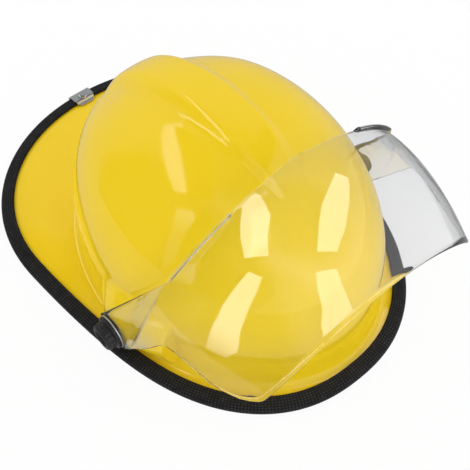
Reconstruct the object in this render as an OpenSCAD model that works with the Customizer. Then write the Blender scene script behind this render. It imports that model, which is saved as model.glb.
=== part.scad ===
// Fire helmet with a flip-up face shield.
// The origin is the middle of the head opening on the surface that the helmet stands on.
// The wearer looks along -Y, the wearer's left is +X and the crown points up +Z.

/* [Brim] */
// Width of the brim's oval, before it is drawn in at the waist
brim_w = 288; // [280:1:296]
// Reach of the brim in front of the head's centre
brim_front = 157; // [152:1:162]
// Reach of the brim behind the head's centre
brim_rear = 219; // [210:1:235]
// How far behind the head's centre the brim is widest
brim_wide_y = 76; // [66:1:86]
// How far the brim climbs towards the crown, in degrees
brim_slope = 7; // [4:0.5:9]

/* [Crown] */
// Half width of the crown
crown_x = 107.1; // [105:0.1:109]
// Half length of the crown
crown_y = 138.4; // [135:0.1:141]
// Height of the crown above its widest ring
crown_z = 121.3; // [115:0.1:124]
// Height of the crown's widest ring
crown_mid = 46.7; // [44:0.1:50]
// Height of the ridge over the crown
ridge_h = 4; // [2:0.5:6]
// Half width of the ridge's flat top at the back
ridge_w = 12; // [9:0.5:15]
// Depth of the hollows beside the ridge at the back
hollow_d = 4.5; // [0:0.5:6]
// Wall thickness of the shell
shell_t = 3; // [2.5:0.1:3.5]

/* [Visor pivot] */
// Distance of each pod's face from the middle
pod_x = 120; // [119:0.5:121]
// Height of the visor's pivot
pivot_z = 30; // [28:0.5:32]
// How far the pivot is in front of the head's centre
pivot_front = 20.8; // [19:0.1:23]
// Radius of the pivot screw's shank
screw_r = 2.5; // [2:0.25:3]

/* [Visor] */
// Half width of the visor at its ears, at the middle of its wall
visor_x = 122.9; // [122.8:0.1:123.2]
// Rise of the visor's arch
visor_rise = 149; // [145:1:152]
// Wall thickness of the visor
visor_t = 2.2; // [2:0.1:3]
// Droop of the raised visor ahead of its pivot, in degrees
visor_droop = 17; // [16:0.5:18]
// Height of the lips at the upper corners
lip_h = 4.5; // [3:0.5:9]

/* [Knobs] */
// Length of a clamping knob
knob_l = 9.5; // [8:0.5:12]
// Radius of a knob's grip
knob_r = 11; // [10:0.5:12]

/* [Headband] */
// Height of the headband
band_h = 28; // [26:1:30]
// Half width of the front half of the headband
band_x = 80; // [78:0.5:81]
// Thickness of the headband's plastic
band_t = 1.4; // [1.2:0.1:1.6]

/* [Chin strap] */
// Width of the webbing
web_w = 14; // [13:0.5:14]
// Thickness of the webbing
web_t = 1.6; // [1.4:0.1:1.8]

/* [Hidden] */

yellow = "#f4cf1c";
black = "#26262a";
steel = "#a9abb0";
$fn = 48;

// Gap between parts that are only laid together
gap = 0.3;
// Running clearance of a shaft in its hole
run = 0.05;

// Outline of the brim: two half superellipses that share the widest line
front_n = 2.27;
rear_n = 2.08;
brim_waist = 0.047;
waist_y = 8;
waist_span = 105;

function lerp(a, b, t) = a + (b - a) * t;
function clamp01(t) = min(1, max(0, t));
function smooth(a, b, t) = let (k = clamp01((t - a) / (b - a))) k * k * (3 - 2 * k);

// Positive outside the outline, negative inside
function outline_gap(x, y) =
  let (rear = y > brim_wide_y, n = rear ? rear_n : front_n,
       reach = rear ? brim_rear - brim_wide_y : brim_wide_y + brim_front,
       waist = 1 - brim_waist * exp(-pow((y - waist_y) / waist_span, 2)))
  pow(abs(x) / (brim_w / 2 * waist), n) + pow(abs(y - brim_wide_y) / reach, n) - 1;

// Distance from the origin to the outline at the plan angle a, found by halving
function outline_r(a, lo = 60, hi = 300, n = 24) =
  n == 0 ? (lo + hi) / 2 :
  let (m = (lo + hi) / 2)
  outline_gap(m * sin(a), -m * cos(a)) > 0 ? outline_r(a, lo, m, n - 1) : outline_r(a, m, hi, n - 1);

function outline_p(a) = let (r = outline_r(a)) [r * sin(a), -r * cos(a)];

// A point d inside the outline, square to it
function outline_in(a, d) =
  let (p = outline_p(a), t = outline_p(a + 1) - outline_p(a - 1), u = t / norm(t))
  p + d * [-u[1], u[0]];

// Columns run round from the front, closer together at the front and back where the ridge is
columns = 96;
column_pinch = 0.35;
function column_a(i) = let (t = 360 * i / columns) t - column_pinch * sin(2 * t) * 180 / PI / 2;

// The brim's sheet at its edge, where the trim takes it
trim_w = 11.4;
trim_h = 8.6;
trim_gap = 0.5;
edge_in = 4;
edge_top = 5.6;

// Crown: an ellipsoid down to the crown foot, then a fillet out to the brim
crown_foot = -8;
crown_rows = 17;
fillet_rows = 5;
brim_rows = 3;
fillet_reach = 8;

function crown_ring(a) = 1 / sqrt(pow(sin(a) / crown_x, 2) + pow(cos(a) / crown_y, 2));

// Height of the crown's surface over the plain ellipsoid: the ridge, lower towards the back, and the
// hollows beside it, which fade out down the back of the crown
ridge_start = -108;
function ridge_at(x, y, z) =
  let (back = smooth(-30, 70, y), grown = smooth(ridge_start, -20, y),
       top = ridge_w * lerp(0.1, 1, grown), foot = top + lerp(9, 14, back),
       fall = smooth(top, foot, abs(x)), beside = 1 - smooth(foot + 4, foot + 46, abs(x)),
       ridge = ridge_h * lerp(1, 0.6, back) * grown * (1 - fall),
       hollow = hollow_d * back * fall * beside * smooth(100, 130, z))
  (ridge - hollow) * smooth(35, 95, z);

// The pods push the crown's side out to a flat face round each pivot
pod_flat = 18;
pod_fall = 0.64;
pod_front = -70;
pod_step = 8;
pod_top = 62;
function pod_reach(y, z) =
  let (far = norm([y + pivot_front, 1.3 * (z - pivot_z)]))
  pod_x - pod_fall * max(0, far - pod_flat);
function pod_push(p) =
  let (open = smooth(pod_front, pod_front + pod_step, p[1]) * (1 - smooth(pod_top - 6, pod_top, p[2])),
       want = pod_reach(p[1], p[2]), more = max(0, want - abs(p[0])) * open)
  [p[0] + sign(p[0]) * more, p[1], p[2]];

function crown_point(a, tilt) =
  let (r = crown_ring(a) * cos(tilt), z = crown_mid + crown_z * sin(tilt),
       p = [r * sin(a), -r * cos(a), z],
       n = [p[0] / pow(crown_x, 2), p[1] / pow(crown_y, 2), (z - crown_mid) / pow(crown_z, 2)])
  p + n / norm(n) * ridge_at(p[0], p[1], z);

// Height of the brim's top at a distance in from its edge
function brim_z(d) = edge_top + d * tan(brim_slope);

function shell_column(a) =
  let (edge = outline_in(a, edge_in), re = norm(edge),
       foot_r = crown_ring(a) * cos(crown_foot), foot_z = crown_mid + crown_z * sin(crown_foot),
       join_r = min(foot_r + fillet_reach, re - trim_w + edge_in - gap), join_z = brim_z(re - join_r),
       bend_z = brim_z(re - foot_r), dir = [sin(a), -cos(a)],
       crown = [for (k = [1:crown_rows]) pod_push(crown_point(a, lerp(90, crown_foot, k / crown_rows)))],
       fillet = [for (k = [1:fillet_rows]) let (t = k / fillet_rows,
         r = foot_r * (1 - t) * (1 - t) + 2 * (foot_r - 0.5) * t * (1 - t) + join_r * t * t,
         z = foot_z * (1 - t) * (1 - t) + 2 * bend_z * t * (1 - t) + join_z * t * t)
         pod_push([r * dir[0], r * dir[1], z])],
       last = fillet[fillet_rows - 1],
       brim = [for (k = [1:brim_rows]) lerp(last, [edge[0], edge[1], edge_top], k / brim_rows)])
  concat(crown, fillet, brim);

// Closed wall from a grid of points: columns go round, rows go from the top down, and back is the
// same grid moved to the wall's other face
module wall_of(front, back, top_front, top_back) {
  n = len(front);
  m = len(front[0]);
  points = concat([for (c = front) each c], [for (c = back) each c], [top_front, top_back]);
  o = n * m;
  function at(i, j) = (i % n) * m + j;
  faces = concat(
    [for (i = [0:n - 1], j = [0:m - 2]) each [[at(i, j), at(i + 1, j), at(i + 1, j + 1)],
      [at(i, j), at(i + 1, j + 1), at(i, j + 1)]]],
    [for (i = [0:n - 1], j = [0:m - 2]) each [[o + at(i, j), o + at(i + 1, j + 1), o + at(i + 1, j)],
      [o + at(i, j), o + at(i, j + 1), o + at(i + 1, j + 1)]]],
    [for (i = [0:n - 1]) each [[2 * o, at(i + 1, 0), at(i, 0)], [2 * o + 1, o + at(i, 0), o + at(i + 1, 0)]]],
    [for (i = [0:n - 1]) each [[at(i, m - 1), at(i + 1, m - 1), o + at(i, m - 1)],
      [at(i + 1, m - 1), o + at(i + 1, m - 1), o + at(i, m - 1)]]]);
  polyhedron(points, faces, convexity = 6);
}

// Outward normal of a grid at one of its points, from its neighbours
function grid_normal(g, i, j) =
  let (n = len(g), m = len(g[0]),
       du = g[(i + 1) % n][j] - g[(i + n - 1) % n][j], dv = g[i][min(j + 1, m - 1)] - g[i][max(j - 1, 0)],
       c = cross(dv, du))
  c / norm(c);
function grid_moved(g, d) = [for (i = [0:len(g) - 1]) [for (j = [0:len(g[0]) - 1])
  g[i][j] + d * grid_normal(g, i, j)]];

// One yellow moulding: crown, ridge, pods and brim
module outer_shell() {
  front = [for (i = [0:columns - 1]) shell_column(column_a(i))];
  top = crown_mid + crown_z + ridge_h;
  color(yellow) difference() {
    wall_of(front, grid_moved(front, -shell_t), [0, 0, top], [0, 0, top - shell_t]);
    for (s = [-1, 1]) at_pivot(s, pod_x - 12) cylinder(r = screw_r + 0.2, h = 16);
    translate([0, clip_rivet_y, 0]) cylinder(r = rivet_r + 0.1, h = 14);
  }
}

// Puts a child's Z axis along the pivot line, pointing away from the head on side s
module at_pivot(s, x) {
  translate([s * x, -pivot_front, pivot_z]) rotate([0, s * 90, 0]) children();
}

// Black rubber channel round the whole brim
module edge_trim() {
  // Section: distance in from the outer edge, and height
  lift = tan(brim_slope) * (trim_w - edge_in);
  section = [[1.8, 0], [trim_w - 1.4, 0], [trim_w, 1.2], [trim_w, edge_top - shell_t - trim_gap + lift],
    [edge_in - gap, edge_top - shell_t - trim_gap], [edge_in - gap, edge_top + trim_gap],
    [trim_w, edge_top + trim_gap + lift], [trim_w, trim_h + lift - 0.6], [trim_w - 1.2, trim_h + lift - 0.1],
    [3.6, trim_h], [1.4, trim_h - 0.9], [0, trim_h - 2.8], [0, 2.2], [0.6, 0.8]];
  n = len(section);
  rings = [for (i = [0:columns - 1]) [for (s = section) let (p = outline_in(column_a(i), s[0])) [p[0], p[1], s[1]]]];
  points = [for (r = rings) each r];
  faces = [for (i = [0:columns - 1], j = [0:n - 1]) let (a = i * n, b = (i + 1) % columns * n, k = (j + 1) % n)
    each [[a + j, b + j, b + k], [a + j, b + k, a + k]]];
  color(black) difference() {
    polyhedron(points, faces, convexity = 10);
    translate([0, clip_rivet_y, -1]) cylinder(r = rivet_r + 0.1, h = 20);
  }
}

// Steel tongue folded over the trim at the back
clip_w = 20;
clip_t = 1.2;
rivet_r = 2;
clip_rivet_y = brim_rear - 8;
module rear_clip() {
  // Side view of the bent strip: distance in from the trim's outer edge, and height
  top = trim_h + tan(brim_slope) * (trim_w - edge_in);
  under = [[-gap, 1.5], [-gap, 6.1], [1.2, 8.1], [3.5, 8.95], [trim_w - 1, top + 0.25], [trim_w + 0.4, top - 0.2],
    [trim_w + 2, top - 1.6], [trim_w + 5, top - 1.95]];
  over = [[trim_w + 5, top - 0.75], [trim_w + 2.3, top - 0.4], [trim_w + 0.9, top + 1], [trim_w - 0.8, top + 1.45],
    [3.3, 10.15], [0.6, 9.2], [-gap - clip_t, 6.6], [-gap - clip_t, 1.5]];
  color(steel) intersection() {
    difference() {
      translate([clip_w / 2, brim_rear, 0]) rotate([90, 0, -90]) linear_extrude(clip_w) polygon(concat(under, over));
      translate([0, clip_rivet_y, 0]) cylinder(r = rivet_r + 0.1, h = 20);
    }
    union() {
      translate([0, brim_rear - 8, -1]) cylinder(r = clip_w / 2, h = 30);
      translate([-clip_w / 2, brim_rear - 8, -1]) cube([clip_w, 20, 30]);
    }
  }
}

// Rivet through the tongue, the trim and the brim
module clip_rivet() {
  seat = 11.1;
  color(steel) translate([0, clip_rivet_y, 0]) rotate_extrude()
    polygon([[0, 0.6], [rivet_r, 0.6], [rivet_r, seat], [rivet_r + 2.2, seat], [rivet_r + 1.8, seat + 1],
      [rivet_r, seat + 1.6], [0, seat + 1.8]]);
}

// Visor: an arch swept along an axis that droops forward. s runs along the axis and n up across it.
visor_mid_n = 43;
ear_r = 16;
function vis(x, s, n) = [x, -s * cos(visor_droop) - n * sin(visor_droop), -s * sin(visor_droop) + n * cos(visor_droop)];
pivot_s = pivot_front * cos(visor_droop) - pivot_z * sin(visor_droop);
pivot_n = pivot_front * sin(visor_droop) + pivot_z * cos(visor_droop);

// The arch narrows towards the chin and swells between its upper edge and its chin edge
visor_taper = 6;
visor_swell = 9;
function arch_n(t) = visor_mid_n + visor_rise * cos(t);
function swell(n, s) = let (k = pow(clamp01((s - 17) / 106), 0.82))
  visor_swell * 4 * k * (1 - k) * smooth(45, 110, n);

// A point of the visor at the arch angle t (0 at the middle, 90 at the ears), off outside its mid wall
function visor_point(side, n, s, off) =
  let (half = visor_x - visor_taper * clamp01((s - 20) / 96), k = clamp01((n - visor_mid_n) / visor_rise),
       x = n <= visor_mid_n ? visor_x : half * sqrt(max(0, 1 - k * k)),
       nx = x / half / half, nn = max(0, n - visor_mid_n) / visor_rise / visor_rise, l = norm([nx, nn]),
       d = off + swell(n, s))
  vis(side * (x - fold_in(n, s) + d * nx / l), s, n + d * nn / l);

// Upper corner, where the standing lip ends and the flat ear begins
corner_t = 51.1;
corner_n = arch_n(corner_t);
corner_s = 25.3;
// Lower edge of each side: heights n and places s along the axis
side_n = [36, 65, 103, 108.5, 111, 113.5, 115, 117, 121.5, 126.5, 131, 134.5];
side_s = [29.5, 39, 51, 55.5, 62, 72.7, 91, 99, 110, 116.6, 120.6, 121.8];
side_end = 134.5;

function arch_t(n) = acos(clamp01((n - visor_mid_n) / visor_rise));
function top_edge(n) =
  n >= corner_n ? lerp(15.5, corner_s, arch_t(n) / corner_t) :
  n >= pivot_n ? lerp(pivot_s - ear_r, corner_s, (n - pivot_n) / (corner_n - pivot_n)) :
  pivot_s - sqrt(max(0, pow(ear_r, 2) - pow(n - pivot_n, 2)));
function low_edge(n) =
  n >= side_end ? 116 + 5.6 * pow(sin(90 * clamp01(arch_t(n) / 52)), 2) :
  n >= 36 ? lookup(n, [for (k = [0:len(side_n) - 1]) [side_n[k], side_s[k]]]) :
  pivot_s + sqrt(max(0, pow(ear_r, 2) - pow(n - pivot_n, 2))) + smooth(18, 36, n) * 1.4;
// The ear is a flat sheet from the crease to its rear edge, so it lies inside the arch
fold_deep = 6;
fold_foot = 45;
function fold_k(n) = clamp01((n - fold_foot) / (corner_n - fold_foot));
function crease_s(n) = lerp(30, corner_s, fold_k(n)) + 6 * sin(180 * fold_k(n));
function fold_in(n, s) = let (k = fold_k(n))
  4 * k * (1 - k) * fold_deep * clamp01((crease_s(n) - s) / max(1, crease_s(n) - top_edge(n)));

// Columns of the visor by height: round the ear, then by angle, closest where the side edge turns
half_n = concat([for (a = [10:10:90]) pivot_n - ear_r * cos(a)], [pivot_n + 4, visor_mid_n, fold_foot],
  [for (t = [86:-4:70]) arch_n(t)], [for (t = [67, 65, 64, 63, 62.2, 61.5, 61, 60.4, 59.5]) arch_n(t)],
  [for (t = [58:-1.5:52]) arch_n(t)], [corner_n], [for (t = [49, 46]) arch_n(t)],
  [for (t = [42:-4:2]) arch_n(t)], [arch_n(0)]);
function mirrored(list) = concat(list, [for (k = [len(list) - 2:-1:0]) list[k]]);
visor_rows = 9;
function visor_grid(off) =
  let (cols = mirrored(half_n), mid = len(half_n) - 1)
  [for (i = [0:2 * mid]) let (n = cols[i], side = i <= mid ? -1 : 1, a = top_edge(n), b = low_edge(n))
    [for (j = [0:visor_rows]) visor_point(side, n, lerp(a, b, j / visor_rows), off)]];

// Closed sheet from two open grids that face each other
module sheet_of(front, back) {
  n = len(front);
  m = len(front[0]);
  o = n * m;
  points = concat([for (c = front) each c], [for (c = back) each c]);
  function at(i, j) = i * m + j;
  faces = concat(
    [for (i = [0:n - 2], j = [0:m - 2]) each [[at(i, j), at(i + 1, j), at(i + 1, j + 1)],
      [at(i, j), at(i + 1, j + 1), at(i, j + 1)]]],
    [for (i = [0:n - 2], j = [0:m - 2]) each [[o + at(i, j), o + at(i + 1, j + 1), o + at(i + 1, j)],
      [o + at(i, j), o + at(i, j + 1), o + at(i + 1, j + 1)]]],
    [for (i = [0:n - 2]) each [[at(i, 0), o + at(i, 0), at(i + 1, 0)], [at(i + 1, 0), o + at(i, 0), o + at(i + 1, 0)],
      [at(i, m - 1), at(i + 1, m - 1), o + at(i, m - 1)], [at(i + 1, m - 1), o + at(i + 1, m - 1), o + at(i, m - 1)]]],
    [for (j = [0:m - 2]) each [[at(0, j), at(0, j + 1), o + at(0, j)], [at(0, j + 1), o + at(0, j + 1), o + at(0, j)],
      [at(n - 1, j), o + at(n - 1, j), at(n - 1, j + 1)],
      [at(n - 1, j + 1), o + at(n - 1, j), o + at(n - 1, j + 1)]]]);
  polyhedron(points, faces, convexity = 6);
}

// Standing lip along the upper edge out to the corner on one side
module visor_lip(side) {
  steps = 8;
  function row(off, back) = [for (k = [0:steps]) let (n = arch_n(lerp(25, corner_t - 1.5, k / steps)))
    [for (o = [-0.5, off]) visor_point(side, n, top_edge(n) + back, o)]];
  front = row(lip_h, 0.2);
  back = row(lip_h, 2.6);
  if (side < 0) sheet_of(back, front);
  else sheet_of(front, back);
}

module visor() {
  color("#dfe6ea", 0.4) difference() {
    union() {
      sheet_of(visor_grid(visor_t / 2), visor_grid(-visor_t / 2));
      visor_lip(-1);
      visor_lip(1);
    }
    for (s = [-1, 1]) at_pivot(s, visor_x - 4) cylinder(r = screw_r + run, h = 8);
  }
}

// Stack on each pivot, from the pod's face outwards
ear_in = visor_x - visor_t / 2;
ear_out = visor_x + visor_t / 2;
knob_x = ear_out + 1.6;

// Rubber washers between the pods and the flat part of the visor's ears
module friction_washers() {
  color(black) for (s = [-1, 1]) at_pivot(s, pod_x + 0.1) ring(10, screw_r + 0.2, ear_in - pod_x - 0.2);
}

// Thin washers between the ears and the knobs
module clamp_washers() {
  color(steel) for (s = [-1, 1]) at_pivot(s, ear_out + 0.1) ring(14, screw_r + run, 1.2);
}

module ring(r, hole, h) {
  difference() {
    cylinder(r = r, h = h);
    translate([0, 0, -1]) cylinder(r = hole, h = h + 2);
  }
}

// Screw: head inside the shell, shank out through the pod, washers, visor and knob
washer_x = pod_x - shell_t - 1.5;
module pivot_screws() {
  head_h = 2.8;
  color(steel) for (s = [-1, 1]) at_pivot(s, washer_x - 0.1 - head_h) {
    cylinder(r = 5, h = head_h);
    cylinder(r = screw_r, h = knob_x + knob_l - 2.2 - (washer_x - 0.1 - head_h));
  }
}

// Steel washers under the screws' heads
module backing_washers() {
  color(steel) for (s = [-1, 1]) at_pivot(s, washer_x) ring(7, screw_r + 0.2, 1.2);
}

// Knob: flange, fluted grip and a dished face round the screw's end
module knob(s) {
  flange_r = knob_r + 2.5;
  color(black) at_pivot(s, knob_x) difference() {
    rotate_extrude($fn = 64) polygon([[screw_r + run, 0], [flange_r, 0], [flange_r, 1.5], [flange_r - 0.5, 2.1],
      [knob_r + 0.3, 2.6], [knob_r, 3.2], [knob_r, knob_l - 2.6], [knob_r - 0.4, knob_l - 1.2],
      [knob_r - 1.4, knob_l - 0.2], [knob_r - 2.4, knob_l], [knob_r - 3.6, knob_l - 0.3], [knob_r - 4.4, knob_l - 1.4],
      [knob_r - 5.2, knob_l - 2.8], [screw_r + run, knob_l - 3.2]]);
    for (a = [0:36:324]) rotate(a) translate([knob_r + 2.1, 0, 3.2]) cylinder(r = 2.6, h = knob_l, $fn = 24);
  }
}
module visor_knob_right() knob(-1);
module visor_knob_left() knob(1);

// Foam cap inside the crown, clear of the hollows beside the ridge
liner_gap = hollow_d + 0.7;
liner_t = 11;
liner_foot = 8;
liner_rows = 10;
liner_columns = 48;
module impact_liner() {
  d = shell_t + liner_gap;
  function cap(off) = [for (i = [0:liner_columns - 1]) let (a = 360 * i / liner_columns)
    [for (k = [1:liner_rows]) let (t = lerp(90, liner_foot, k / liner_rows),
      rx = crown_x - off, ry = crown_y - off,
      r = cos(t) / sqrt(pow(sin(a) / rx, 2) + pow(cos(a) / ry, 2)))
      [r * sin(a), -r * cos(a), crown_mid + (crown_z - off) * sin(t)]]];
  color("#3a3b3e") wall_of(cap(d), cap(d + liner_t), [0, 0, crown_mid + crown_z - d],
    [0, 0, crown_mid + crown_z - d - liner_t]);
}

// Band in plan: straight arms towards -Y and a half round end towards +Y
module u_shape(r, arm) {
  intersection() {
    circle(r = r, $fn = 96);
    translate([-r, 0]) square([2 * r, r]);
  }
  translate([-r, -arm]) square([2 * r, arm]);
}
module u_band(r, arm, t, h) {
  linear_extrude(h) difference() {
    u_shape(r, arm);
    u_shape(r - t, arm + 1);
  }
}

// Headband: front half with arms that reach back, rear half that slides outside them
band_z = 20;
front_mid = -18;
front_arm = 22;
rear_mid = 16;
rear_arm = 34;
rear_x = band_x + gap;
nape_h = 20;
anchor_y = -46;
anchor_hold_z = 27;
module headband_front() {
  color(black) difference() {
    translate([0, front_mid, band_z]) mirror([0, 1, 0]) u_band(band_x, front_arm, band_t, band_h);
    translate([-band_x - 5, anchor_y, anchor_hold_z]) rotate([0, 90, 0]) cylinder(r = anchor_r + run, h = 2 * band_x + 10);
  }
}
module nape_band() {
  color(black) difference() {
    translate([0, rear_mid, band_z]) u_band(rear_x + band_t, rear_arm, band_t, nape_h);
    translate([0, rear_mid + rear_x - 8, band_z + nape_h / 2]) rotate([-90, 0, 0]) cylinder(r = 7, h = 20);
  }
}

// Padded strip inside a band: a soft section swept round an arc of radius r from angle a to angle b
module pad_arc(r, mid_y, a, b, z, h, t, steps) {
  // Crowned towards the head and drawn in at its edges
  section = [for (k = [0:11]) let (u = 30 * k, c = cos(u), s = sin(u))
    [c > 0 ? t * 0.5 * pow(c, 0.7) : -t * 0.5 * pow(-c, 0.35), h / 2 * sign(s) * pow(abs(s), 0.6)]];
  n = len(section);
  rings = [for (i = [0:steps]) let (p = lerp(a, b, i / steps),
    ends = 0.35 + 0.65 * pow(sin(180 * lerp(0.03, 0.97, i / steps)), 0.3))
    [for (q = section) let (rr = r - t / 2 - q[0] * ends)
      [rr * sin(p), mid_y - rr * cos(p), z + q[1] * (0.9 + 0.1 * ends)]]];
  points = [for (g = rings) each g];
  last = steps * n;
  faces = concat(
    [for (i = [0:steps - 1], j = [0:n - 1]) let (k = (j + 1) % n, c = i * n, d = c + n)
      each [[c + j, d + j, d + k], [c + j, d + k, c + k]]],
    [for (j = [1:n - 2]) each [[0, j, j + 1], [last, last + j + 1, last + j]]]);
  polyhedron(points, faces, convexity = 8);
}
module brow_pad() {
  color("#2f3034") pad_arc(band_x - band_t - gap, front_mid, -62, 62, band_z + band_h / 2, band_h + 2, 7, 36);
}
module nape_pad() {
  color("#2f3034") pad_arc(rear_x - gap, rear_mid, 118, 242, band_z + nape_h / 2, nape_h - 1, 6, 28);
}

// Two webbing straps arch over the head, each in an upright plane turned by an angle
strap_w = 20;
strap_span = 98;
strap_foot = 47.5;
strap_top = 128;
strap_turn = 52;
module crown_strap(a, top) {
  steps = 32;
  function at(t, off) = [(strap_span + off) * cos(t), strap_foot + (top - strap_foot + off) * sin(t)];
  outline = concat([for (k = [0:steps]) at(180 * k / steps, web_t / 2)],
    [for (k = [steps:-1:0]) at(180 * k / steps, -web_t / 2)]);
  rotate(a) rotate([90, 0, 0]) translate([0, 0, -strap_w / 2]) linear_extrude(strap_w) polygon(outline);
}
module crown_strap_long() {
  color("#46474b") crown_strap(strap_turn, strap_top);
}
module crown_strap_cross() {
  color("#46474b") crown_strap(-strap_turn, strap_top + web_t + gap);
}

// Moulded hanger: a plate behind a strap's foot, a tongue out to the headband and an arm to the shell
key_z = 43;
key_h = 17;
module strap_key() {
  plate_r = strap_span + web_t / 2 + 0.4;
  rotate(strap_turn) {
    difference() {
      translate([plate_r, -13, key_z]) cube([3.4, 26, key_h]);
      translate([plate_r - 1, -10.5, key_z + 7]) cube([6, 21, 3.2]);
    }
    translate([plate_r - 3.8, -8, key_z]) cube([4.2, 16, 3.9]);
    translate([plate_r + 1.8, 0, key_z + 2]) rotate(-17) translate([0, -4, 0]) cube([18, 8, 12]);
  }
}
module strap_keys() {
  color(black) for (x = [0, 1], y = [0, 1]) mirror([x, 0, 0]) mirror([0, y, 0]) strap_key();
}

// Soft round pad under the crossing of the straps
module crown_pad() {
  sides = 32;
  r = 36;
  low = strap_top - web_t / 2 - gap - 9.3;
  // Profile from the underside out and back to the top: share of the radius, and height
  profile = [[0.55, 0], [0.86, 1.2], [0.98, 3.6], [1, 5.4], [0.92, 7.4], [0.6, 8.2]];
  function sag(q, z) = z - 3.6 * q * q;
  pts = concat([for (p = profile, i = [0:sides - 1]) let (a = 360 * i / sides, q = p[0] * (1 - 0.03 * cos(8 * a)))
    [r * q * cos(a), r * q * sin(a), low + sag(q, p[1])]], [[0, 0, low - 0.4], [0, 0, low + 8.6]]);
  m = len(profile);
  bottom = m * sides;
  faces = concat(
    [for (j = [0:m - 2], i = [0:sides - 1]) let (a = j * sides + i, b = j * sides + (i + 1) % sides)
      each [[a, b + sides, b], [a, a + sides, b + sides]]],
    [for (i = [0:sides - 1]) let (k = (i + 1) % sides)
      each [[bottom, i, k], [bottom + 1, (m - 1) * sides + k, (m - 1) * sides + i]]]);
  color("#2f3034") polyhedron(pts, faces);
}

// Size adjuster at the nape
hub_y = rear_mid + rear_x + band_t;
hub_z = band_z + nape_h / 2;
module at_hub(y) {
  translate([0, hub_y + y, hub_z]) rotate([-90, 0, 0]) children();
}
module ratchet_housing() {
  color(black) difference() {
    intersection() {
      at_hub(gap / 2) cylinder(r = 21, h = 6.4);
      translate([-30, hub_y - 1, hub_z - 11]) cube([60, 10, 22]);
    }
    at_hub(-1) cylinder(r = 5.9, h = 5.4);
    at_hub(-1) cylinder(r = 3 + run, h = 10);
    for (s = [-1, 1]) translate([s * 17 - 9, hub_y - 2, hub_z - 6]) cube([18, 4, 12]);
  }
}
// Toothed shaft that drives the band's tails
module ratchet_pinion() {
  color("#3b3b3f") at_hub(gap) {
    cylinder(r = 4.2, h = 3.4);
    for (a = [0:45:315]) rotate(a) translate([3.6, -0.7, 0]) cube([1.9, 1.4, 3.4]);
    translate([0, 0, 3]) cylinder(r = 3, h = 8.5);
  }
}
module ratchet_knob() {
  color(black) at_hub(6.9) difference() {
    rotate_extrude($fn = 64) polygon([[3 + run, 0], [10.5, 0], [11, 0.6], [11, 5], [9.8, 6.4], [6, 7], [0, 6.8], [0, 5.2],
      [3 + run, 5.2]]);
    for (a = [0:24:336]) rotate(a) translate([12.2, 0, -1]) cylinder(r = 2, h = 12, $fn = 20);
  }
}

// Chin strap: pivots on plates that hang from the headband's arms, folded back under the nape for rest
anchor_r = 2;
anchor_z = 10;
plate_x = band_x + 0.1;
plate_t = 1.5;
module across(s, x, z) {
  translate([s * x, anchor_y, z]) rotate([0, s * 90, 0]) children();
}
module chin_anchors() {
  color(steel) for (s = [-1, 1]) difference() {
    union() {
      across(s, plate_x, anchor_z) cylinder(r = 7, h = plate_t);
      across(s, plate_x, anchor_hold_z) cylinder(r = 8, h = plate_t);
      translate([s > 0 ? plate_x : -plate_x - plate_t, anchor_y - 6.5, anchor_z]) cube([plate_t, 13, anchor_hold_z - anchor_z]);
    }
    for (z = [anchor_z, anchor_hold_z]) across(s, plate_x - 1, z) cylinder(r = anchor_r + run, h = plate_t + 2);
  }
}
module anchor_rivet(s, z, inner) {
  out = plate_x + plate_t + 0.1;
  across(s, inner - 1.2, z) {
    cylinder(r = 3.6, h = 1.2);
    cylinder(r = anchor_r, h = out - inner + 2.4);
    translate([0, 0, out - inner + 1.2]) cylinder(r = 3.6, h = 1.2);
  }
}
module anchor_rivets() {
  color(steel) for (s = [-1, 1]) {
    anchor_rivet(s, anchor_hold_z, band_x - band_t - 0.1);
    anchor_rivet(s, anchor_z, band_x - 0.1 - web_t - 0.1);
  }
}

// The webbing stands on edge in a U; the left arm is broken by the buckle
web_x = band_x - 0.1;
web_mid = 15;
web_low = anchor_z - web_w / 2;
web_c = web_x - web_t / 2;
socket_y = -22;
plug_y = 2.3;
plug_end = 18;
web_in = 5;
module chin_strap() {
  color("#46474b") difference() {
    union() {
      translate([0, web_mid, web_low]) u_band(web_x, web_mid - anchor_y, web_t, web_w);
      for (s = [-1, 1]) across(s, web_x - web_t, anchor_z) cylinder(r = web_w / 2, h = web_t);
    }
    for (s = [-1, 1]) across(s, web_x - web_t - 1, anchor_z) cylinder(r = anchor_r + run, h = web_t + 2);
    translate([web_c - 5, socket_y + web_in, -1]) cube([10, plug_end - web_in - socket_y - web_in, 30]);
  }
}
// Hole for the webbing through a fitting on the side s, from y0 over a length
module web_way(s, y0, l) {
  translate([s * web_c - 1.1, y0, web_low - gap]) cube([2.2, l, web_w + 2 * gap]);
}
module strap_adjuster() {
  color(steel) difference() {
    translate([-web_c - 2.6, -8, 1.7]) cube([5.2, 18, 16.6]);
    web_way(-1, -9, 20);
    for (y = [-5.5, 2]) translate([-web_c - 5, y, 4.5]) cube([10, 5, 11]);
  }
}
module chin_cup() {
  color(black) translate([0, web_mid, 0]) rotate(65) rotate_extrude(angle = 50, $fn = 96) difference() {
    translate([75.6, 1.4]) square([6.6, 17.2]);
    translate([web_x - web_t - gap, web_low - gap]) square([web_t + 2 * gap, web_w + 2 * gap]);
  }
}
module buckle_socket() {
  color(black) difference() {
    translate([web_c - 4, socket_y, 1.5]) cube([8, 24, 17]);
    translate([web_c - 2.6, socket_y + 7.5, 3.5]) cube([5.2, 17, 13]);
    translate([web_c - 2.6, socket_y + 12, 0]) cube([5.2, 8, 20]);
    web_way(1, socket_y - 1, web_in + 1.3);
  }
}
module buckle_plug() {
  color(black) difference() {
    union() {
      translate([web_c - 3.6, plug_y, 2]) cube([7.2, plug_end - plug_y, 16]);
      translate([web_c - 1.2, plug_y - 14.3, anchor_z - 1.2]) cube([2.4, 15, 2.4]);
    }
    web_way(1, plug_end - web_in - gap, web_in + 1.3);
  }
}
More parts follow.
